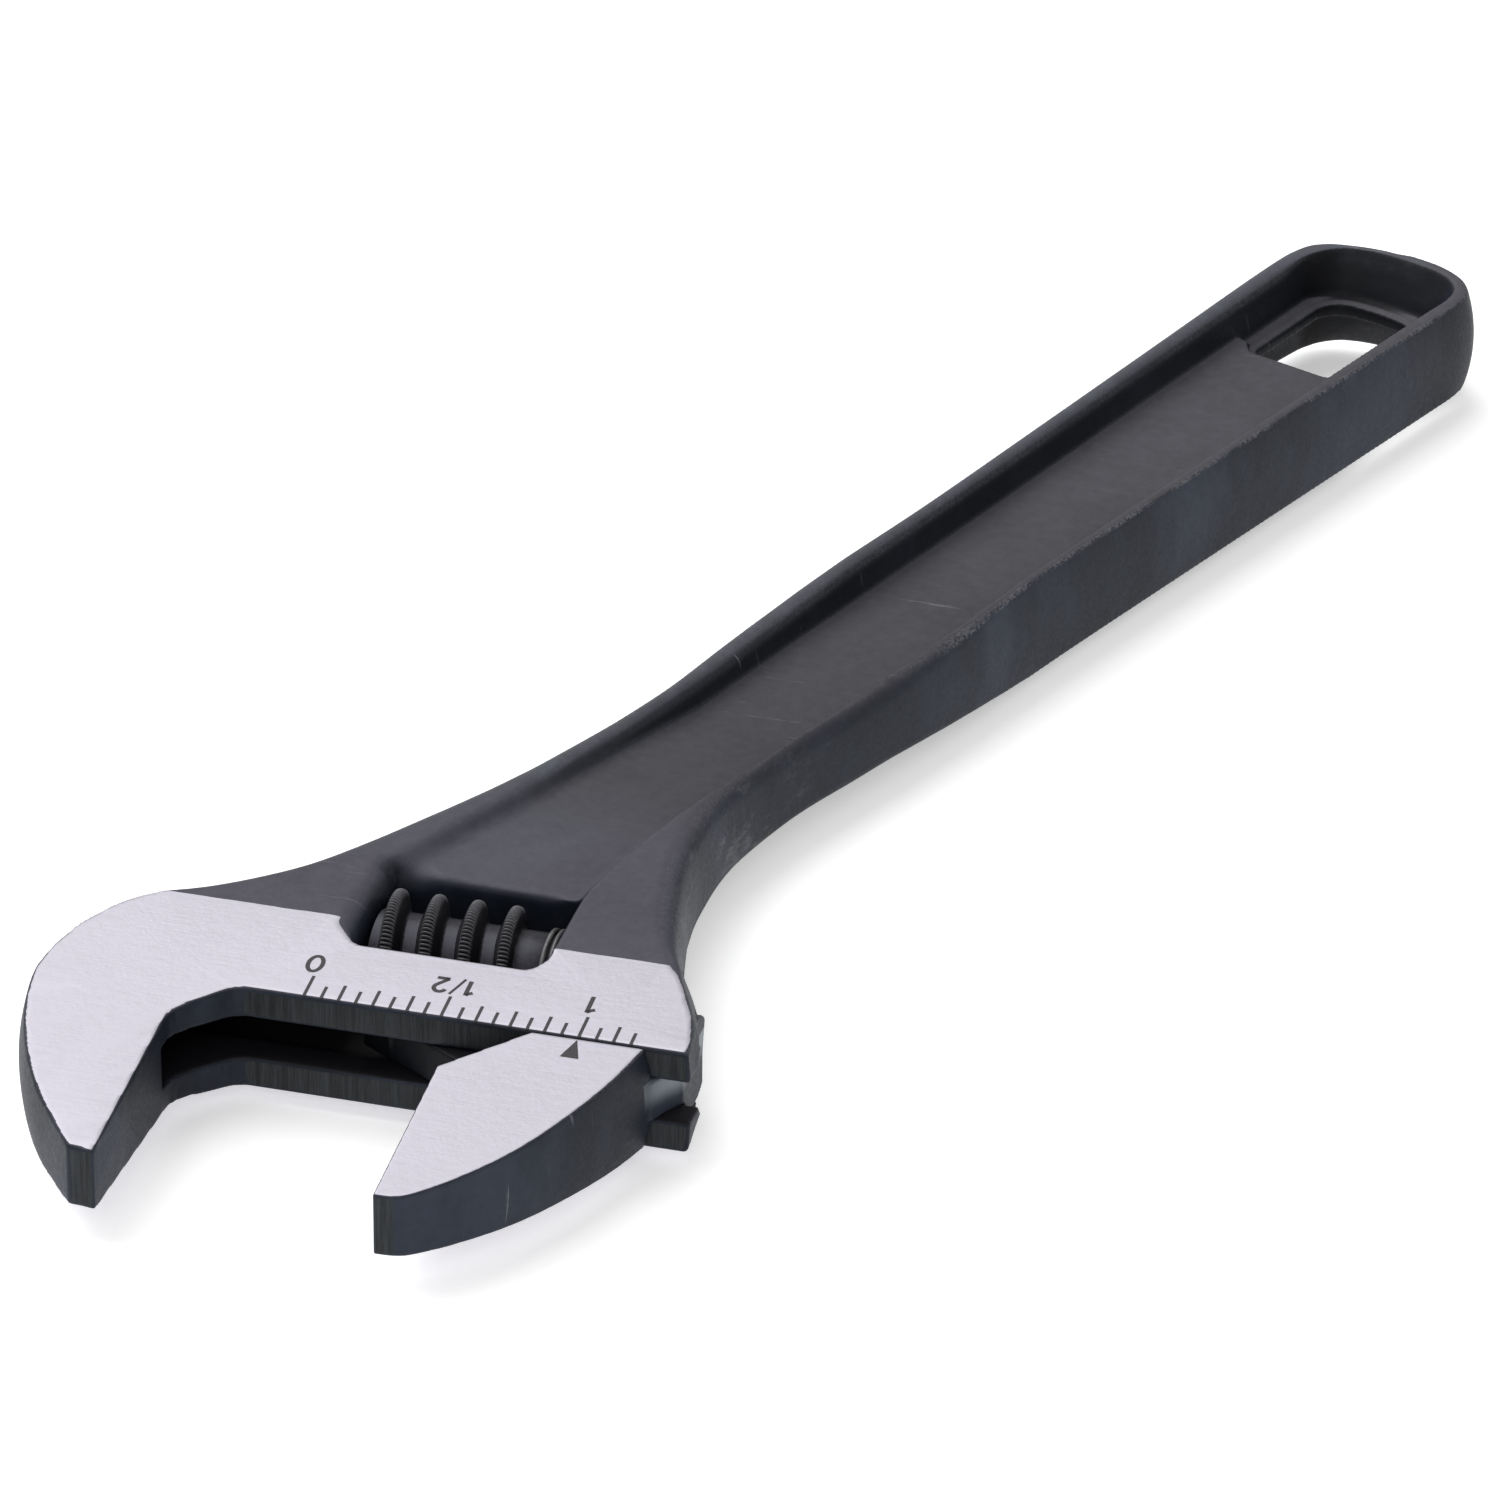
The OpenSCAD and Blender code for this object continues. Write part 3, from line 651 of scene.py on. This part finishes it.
def steel(name, ground_to, slot_x, slot_y):
    """Black phosphate over forged steel, with the head's faces ground bright up to one line.

    ground_to is how far back the bright faces reach, from the guide edge, in millimetres.
    slot_x (metres) and slot_y (millimetres) are where the painted shade inside the slot ends.
    """
    n = Nodes(name)
    x, y, z = n.axes()
    nx, ny, nz = n.facing()
    up = n.math("ABSOLUTE", nz)
    lean = (0.36, 0.934)  # about the sine and the cosine of handle_angle

    # Phosphate: the sides are darker as painted shade, with lighter random blotches there; fine grain, faint
    # cloudy patches.
    grain = n.noise(2600, 4, 0.6)
    cloud = n.noise(55, 4, 0.6)
    speck = n.noise(900, 2, 0.5)
    top = n.remap(up, 0.55, 0.95)
    wash = n.remap(n.noise(48, 4, 0.65, stretch=(1, 1, 0.4)), 0.42, 0.68)
    floor = n.scaled(PLATEAU, n.remap(y, 0.08, 0.165, 0.84, 1.15, smooth=False))
    face = n.mix(n.remap(y, 0.045, 0.065), SHOULDER, floor)
    dark = n.mix(top, n.mix(wash, FLANK_SHADE, FLANK_SHADE_BLOTCH), face)
    tone = n.math("ADD", n.times(cloud, 0.5), n.times(speck, 0.35))
    tone = n.remap(tone, 0.25, 0.62, 0.78, 1.2, smooth=False)
    colour = n.scaled(dark, tone)

    # Light scratches and rubbed edges.
    scratch = n.noise(60, 5, 0.75, stretch=(1, 14, 1), turn=0.5)
    scratch = n.remap(scratch, 0.63, 0.69)
    patch = n.remap(n.noise(38, 2, 0.5), 0.5, 0.64)
    rubbed = n.times(scratch, patch)
    # A rounded edge is where the surface turns from the face to the side
    away = n.math("ABSOLUTE", z)
    across = n.math("SUBTRACT", n.times(y, lean[0]), n.times(x, lean[1]))
    edge = n.times(n.remap(up, 0.35, 0.55), n.remap(up, 0.985, 0.93), n.remap(away, 0.0038, 0.0044))
    edge = n.times(edge, n.remap(nx, 0.05, 0.25), n.remap(y, 0.075, 0.1, 0.3, 1.0))
    edge = n.times(edge, n.remap(across, -0.0065, -0.0105, 0.25, 1.0))
    fine = n.remap(n.noise(3200, 3, 0.7), 0.4, 0.6)
    edge = n.times(edge, fine, n.remap(n.noise(160, 3, 0.6), 0.3, 0.6))
    # Smudges where the neck turns in, on the right
    streak = n.remap(n.noise(230, 6, 0.85, stretch=(1, 0.4, 1)), 0.5, 0.7)
    right = n.times(n.remap(x, 0.034, 0.037), n.remap(y, 0.082, 0.06))
    right = n.times(right, n.remap(y, 0.03, 0.04), n.remap(up, 0.9, 0.6))
    # The left rim gets a painted sheen, broken up by some real wear, and the hollow's wall below it gets
    # painted shade
    inward = n.math("SUBTRACT", n.times(nx, lean[1]), n.times(ny, lean[0]))
    on_left = n.times(n.remap(across, -0.0085, -0.006), n.remap(y, 0.035, 0.055))
    rim_top = n.times(on_left, n.remap(away, 0.0032, 0.0046))
    rim_top = n.times(rim_top, n.remap(inward, 0.75, 0.4), n.remap(inward, -0.95, -0.6))
    rim_sheen_and_wear_patches = n.remap(n.noise(420, 5, 0.75), 0.42, 0.66, 0.35, 0.8)
    colour = n.mix(n.times(rim_top, rim_sheen_and_wear_patches), colour, RIM_SHEEN_AND_WEAR)
    # Painted shade on the steep left wall of the hollow.
    left_wall_shade = n.times(on_left, n.remap(inward, 0.55, 0.88))
    colour = n.mix(n.times(left_wall_shade, 0.65), colour, HOLLOW_WALL_SHADE)
    wear = n.math("MAXIMUM", n.times(rubbed, 0.5), n.times(edge, 0.45))
    wear = n.math("MAXIMUM", wear, n.times(streak, right, 0.4))
    colour = n.mix(wear, colour, WORN)

    # The ground faces: all that lies on the head's two tapered planes.
    head_y = n.math("SUBTRACT", n.times(y, 1000), jaw_mid)
    plane = n.math("ADD", n.times(head_y, head_taper), guide_half - 0.07)
    on_plane = n.math("GREATER_THAN", n.times(away, 1000), plane)
    wander = n.times(n.math("SUBTRACT", n.noise(240, 2, 0.5), 0.5), 0.25)
    before = n.math("LESS_THAN", n.math("ADD", head_y, wander), ground_to)
    ground = n.times(on_plane, before, n.math("GREATER_THAN", up, 0.9))
    lines = n.noise(110, 6, 0.7, stretch=(1.2, 60, 1), turn=0.10)
    smear = n.noise(32, 3, 0.6)
    bright = n.remap(n.math("ADD", n.times(lines, 0.75), n.times(smear, 0.25)),
                     0.3, 0.7, 0.88, 1.1, smooth=False)
    colour = n.mix(ground, colour, n.scaled(GROUND, bright))

    # Milling marks on the guide edge and the working faces
    mill = n.noise(90, 4, 0.75, stretch=(26, 1, 1))
    machined = n.remap(n.math("ABSOLUTE", ny), 0.96, 0.99)
    machined = n.times(machined, n.math("LESS_THAN", head_y, 0.6))
    colour = n.mix(machined, colour, n.scaled(MILLED, n.remap(mill, 0.35, 0.7, 0.5, 1.8, smooth=False)))

    # The inside of the slot and of the rack's bore is painted close to black as shade
    dark_from, dark_to = -0.0075, 0.040
    in_slot = n.within(x, dark_from, slot_x)
    deep = n.times(n.math("LESS_THAN", away, 0.0022), in_slot, n.within(head_y, slot_y, 11))
    in_bore = n.times(n.within(x, dark_from, dark_to), n.within(head_y, 2.6, 9.5))
    in_bore = n.times(in_bore, n.math("LESS_THAN", away, 0.0044))
    deep = n.math("MAXIMUM", deep, in_bore)
    colour = n.mix(n.times(deep, 0.85), colour, SHADE_BLACK)
    # The end of the jaw's rack is rubbed bright by the bore, and carries a painted highlight that is brighter
    # towards its top
    rack_end_highlight = n.times(n.remap(x, slot_x + 0.0035, slot_x + 0.007), n.within(head_y, -1.5, 12))
    rack_end_highlight = n.times(rack_end_highlight, n.math("LESS_THAN", away, 0.0021), n.remap(z, -0.001, 0.0012))
    colour = n.mix(rack_end_highlight, colour, RACK_RUBBED_AND_HIGHLIGHT)
    # The far wall of the hollow is darker than the rest: painted shade
    far_wall_shade = n.times(n.remap(ny, -0.25, -0.6), n.math("GREATER_THAN", y, 0.165), n.remap(up, 0.9, 0.7))
    colour = n.mix(n.times(far_wall_shade, 0.75), colour, SHADE_BLACK)

    rough = n.remap(grain, 0.3, 0.7, 0.44, 0.58, smooth=False)
    rough = n.mix_value(ground, rough, n.remap(lines, 0.3, 0.7, 0.34, 0.48, smooth=False))
    metal = n.mix_value(ground, n.remap(wear, 0, 1, 0.0, 0.6, smooth=False), 0.4)
    normal = n.bump(n.math("ADD", grain, n.times(speck, 1.5)), 0.00003, 0.55)
    relief = n.times(n.math("SUBTRACT", lines, 0.5), ground)
    relief = n.math("ADD", relief, n.times(n.math("SUBTRACT", mill, 0.5), machined))
    normal = n.bump(relief, 0.00003, 0.5, over=normal)
    return n.finish(colour, rough, normal, metal, specular=0.16)


def worm_steel():
    """Phosphated thread with lighter, serrated crests, flanks darkened as painted shade, and a smoother,
    slightly metallic core.
    """
    n = Nodes("worm_steel")
    _, y, z = n.axes()
    level = n.math("SUBTRACT", y, (knurl_y + jaw_mid) * MM)
    radius = n.math("SQRT", n.math("ADD", n.times(level, level), n.times(z, z)))
    grain = n.noise(2600, 4, 0.65)
    crest = n.remap(radius, (knurl_r - 0.75) * MM, (knurl_r - 0.35) * MM)
    core = n.remap(radius, (core_r + 0.35) * MM, (core_r + 0.1) * MM)
    angle = n.times(n.math("ARCTAN2", z, level), serrations)
    pressed = n.remap(n.math("COSINE", angle), -0.1, 0.7)
    colour = n.mix(crest, THREAD_FLANK_SHADE, n.mix(pressed, THREAD_CREST, THREAD_PRESSED))
    colour = n.mix(core, colour, THREAD_CORE)
    colour = n.scaled(colour, n.remap(grain, 0.3, 0.7, 0.75, 1.25, smooth=False))
    rough = n.remap(grain, 0.3, 0.7, 0.34, 0.5, smooth=False)
    metal = n.remap(core, 0, 1, 0.2, 0.7, smooth=False)
    return n.finish(colour, rough, n.bump(grain, 0.00002, 0.5), metal, specular=0.3)


def dark_steel(name, base, worn, low, high, metallic=0.5):
    """Plain dark steel, worn on its sharp edges, with a roughness between low and high."""
    n = Nodes(name)
    grain = n.noise(3000, 3, 0.6)
    cloud = n.remap(n.noise(260, 3, 0.6), 0.3, 0.7, 0.75, 1.25, smooth=False)
    point = n.add("ShaderNodeNewGeometry").outputs["Pointiness"]
    edge = n.remap(point, 0.52, 0.6)
    colour = n.mix(n.times(edge, 0.8), n.scaled(base, cloud), worn)
    rough = n.remap(grain, 0.3, 0.7, low, high, smooth=False)
    return n.finish(colour, rough, n.bump(grain, 0.00002, 0.5), metallic)


# ---- Pieces ---------------------------------------------------------------------------------

def place(thing, body, node, material):
    """Give the piece its material, and let it stand for a CAD node and ride on its body."""
    thing.data.materials.clear()
    thing.data.materials.append(material)
    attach(thing, body)
    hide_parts(node)


body_step = 0.3
field, corner = forging_field(body_step)
top_z = field.shape[2] / 2 * body_step - body_step / 2
forged = surface_mesh("forged_body", field, (*corner, -top_z), body_step, 190000)
place(forged, "body", "body", steel("phosphate_body", guide_back, 1.0, -7.3))

jaw_step = 0.16
field, corner = jaw_field(jaw_step)
top_z = field.shape[2] / 2 * jaw_step - jaw_step / 2
jaw = surface_mesh("sliding_jaw", field, (corner[0] + opening, corner[1], -top_z), jaw_step, 140000)
place(jaw, "jaw", "movable_jaw", steel("phosphate_jaw", 0.5, 0.038, -4))
del field

place(knurl_piece(), "knurl", "knurl", worm_steel())

pin_steel = dark_steel("pin_steel", (0.06, 0.06, 0.065), EDGE_GREY, 0.35, 0.5)
pin_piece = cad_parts["knurl_pin"]
pin_piece.data.materials.clear()
pin_piece.data.materials.append(pin_steel)

wire_steel = dark_steel("spring_wire", (0.07, 0.07, 0.075), EDGE_GREY, 0.35, 0.55, metallic=0.6)
place(spring_piece(), "body", "spring", wire_steel)


# ---- Inch scale -----------------------------------------------------------------------------

scale_zero, sixteenth, tick_count = 10.95, 25.4 / 16, 20


def mark_material():
    """Dark etched marks, a little uneven."""
    n = Nodes("etched_marks")
    grain = n.noise(4000, 3, 0.6)
    colour = n.mix(n.remap(grain, 0.35, 0.65), (0.012, 0.010, 0.013), (0.03, 0.026, 0.032))
    return n.finish(colour, n.remap(grain, 0.3, 0.7, 0.55, 0.7), n.bump(grain, 0.00001, 0.4), 0.0)


def on_face(points, lift=0.006):
    """Head-frame plan points laid on the ground face."""
    return [(px * MM, (py + jaw_mid) * MM, (guide_half + head_taper * py + lift) * MM) for px, py in points]


def flat_marks(name, shapes, body):
    """Thin etched marks, each a closed plan outline on the ground face."""
    work = bmesh.new()
    for shape in shapes:
        work.faces.new([work.verts.new(p) for p in on_face(shape)])
    bmesh.ops.recalc_face_normals(work, faces=work.faces)
    for face in work.faces:
        if face.normal.z < 0:
            face.normal_flip()
    mesh = bpy.data.meshes.new(name)
    work.to_mesh(mesh)
    work.free()
    thing = new_object(name, mesh)
    thing.data.materials.append(marks)
    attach(thing, body)
    return thing


def tick_shape(k):
    """The k-th sixteenth of an inch, longer at each eighth and longest at each half."""
    long = 3.2 if k % 8 == 0 else (2.45 if k % 2 == 0 else 1.9)
    at = scale_zero + sixteenth * k
    half, near = 0.16, 0.12
    return [(at - half, near), (at + half, near), (at + half, long), (at - half, long)]


def stroke(points, width):
    """A pen stroke of even width along points, as quads."""
    quads = []
    p = np.array(points, float)
    d = np.gradient(p, axis=0)
    d /= np.linalg.norm(d, axis=1)[:, None]
    side = np.stack([-d[:, 1], d[:, 0]], 1) * width / 2
    for i in range(len(p) - 1):
        quads.append([p[i] - side[i], p[i + 1] - side[i + 1], p[i + 1] + side[i + 1], p[i] + side[i]])
    return quads


def arc(cx, cy, rx, ry, start, end, steps):
    """Points of an ellipse's arc, with both angles in degrees."""
    return [(cx + rx * math.cos(math.radians(start + (end - start) * i / steps)),
             cy + ry * math.sin(math.radians(start + (end - start) * i / steps))) for i in range(steps + 1)]


def digit_strokes(sign):
    """One sign of the scale, in a box about 0.6 wide and 1 high."""
    if sign == "0":
        return [arc(0.3, 0.5, 0.26, 0.46, 0, 360, 28)]
    if sign == "1":
        return [[(0.38, 0.0), (0.38, 0.5), (0.38, 0.98)], [(0.38, 0.96), (0.26, 0.84), (0.12, 0.76)]]
    if sign == "2":
        return [arc(0.3, 0.7, 0.25, 0.27, 165, -35, 16) + [(0.3, 0.3), (0.08, 0.06)],
                [(0.05, 0.05), (0.3, 0.05), (0.58, 0.05)]]
    return [[(0.0, -0.08), (0.2, 0.5), (0.4, 1.04)]]


def sign_shapes(text, centre, height, base):
    """Signs that read from the handle's side: turned by half a turn about Z."""
    widths = {"0": 0.62, "1": 0.52, "2": 0.66, "/": 0.46}
    total = sum(widths[s] for s in text) + 0.12 * (len(text) - 1)
    pen = -total / 2
    shapes = []
    for s in text:
        for line in digit_strokes(s):
            turned = [(centre - (pen + px) * height, base + (1 - py) * height) for px, py in line]
            shapes += stroke(turned, 0.28 if s == "/" else 0.42)
        pen += widths[s] + 0.12
    return shapes


marks = mark_material()
ticks = [tick_shape(k) for k in range(tick_count)]
signs = sign_shapes("0", 10.5, 2.5, 3.75) + sign_shapes("1/2", 23.6, 2.2, 3.6)
signs += sign_shapes("1", 36.3, 2.5, 3.75)
scale_marks = flat_marks("scale_marks", ticks + signs, "body")
pointer = flat_marks("scale_pointer", [[(36.35, -0.3), (35.5, -3.05), (37.25, -3.05)]], "jaw")


# ---- Floor, light and camera ----------------------------------------------------------------

def backdrop():
    """A pale paper floor just under the tool, which glows a little so that it stays white."""
    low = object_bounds()[0][2] - 0.0001
    size = 3.0
    mesh = bpy.data.meshes.new("floor")
    corners = [(-size, -size, low), (size, -size, low), (size, size, low), (-size, size, low)]
    mesh.from_pydata(corners, [], [(0, 1, 2, 3)])
    floor = new_object("floor", mesh)
    n = Nodes("paper_floor")
    grain = n.noise(300, 3, 0.6)
    colour = n.mix(grain, (0.93, 0.93, 0.93), (0.97, 0.97, 0.97))
    n.shader.inputs["Emission Color"].default_value = (1, 1, 1, 1)
    n.shader.inputs["Emission Strength"].default_value = 0.38
    mesh.materials.append(n.finish(colour, 0.9, n.bump(grain, 0.00002, 0.2)))


def softbox(name, position, target, size, power):
    """A white rectangular light, aimed at target."""
    light = bpy.data.lights.new(name, "AREA")
    light.shape = "RECTANGLE"
    light.size, light.size_y = size
    light.energy = power
    thing = new_object(name, light)
    thing.location = position
    thing.rotation_euler = (Vector(target) - Vector(position)).to_track_quat("-Z", "Y").to_euler()


def photo_camera():
    """The photograph's view: azimuth, elevation and roll, with the head frame's origin off centre."""
    azimuth, elevation, roll = (math.radians(v) for v in (15.09, 30.205, 0.472))
    distance, focal, sensor = 945.32, 7.0603, 36.0  # focal is in picture widths
    flat = math.cos(elevation)
    back = np.array([math.sin(azimuth) * flat, -math.cos(azimuth) * flat, math.sin(elevation)])
    right = np.array([math.cos(azimuth), math.sin(azimuth), 0.0])
    up = np.cross(back, right)
    r = math.cos(roll) * right + math.sin(roll) * up
    u = -math.sin(roll) * right + math.cos(roll) * up
    # Where the head frame's origin lies, right of and below the picture's centre, in picture widths
    across, down = -0.37529, 0.18550
    spot = back * distance - r * (across / focal * distance) + u * (down / focal * distance)
    spot = (spot + np.array([0, jaw_mid, 0])) * MM
    data = bpy.data.cameras.new("camera")
    data.sensor_width = sensor
    data.lens = focal * sensor
    data.clip_start, data.clip_end = 0.01, 50
    camera = new_object("camera", data)
    camera.matrix_world = Matrix([(r[k], u[k], back[k], spot[k]) for k in range(3)] + [(0, 0, 0, 1)])
    bpy.context.scene.camera = camera


backdrop()
photo_camera()
middle = (0.035, 0.09, 0)
softbox("key_left", (-0.55, 0.4, 1.0), middle, (1.5, 1.3), 17)
softbox("fill_front", (0.15, -0.9, 0.75), middle, (0.9, 0.6), 2.5)
softbox("rim_right", (1.0, 0.5, 0.35), middle, (0.5, 0.4), 2)
bpy.context.scene.view_settings.view_transform = "Standard"
world = bpy.data.worlds.new("studio")
bpy.context.scene.world = world
world.use_nodes = True
world.node_tree.nodes["Background"].inputs["Color"].default_value = (1, 1, 1, 1)
world.node_tree.nodes["Background"].inputs["Strength"].default_value = 0.36

bpy.context.view_layer.update()
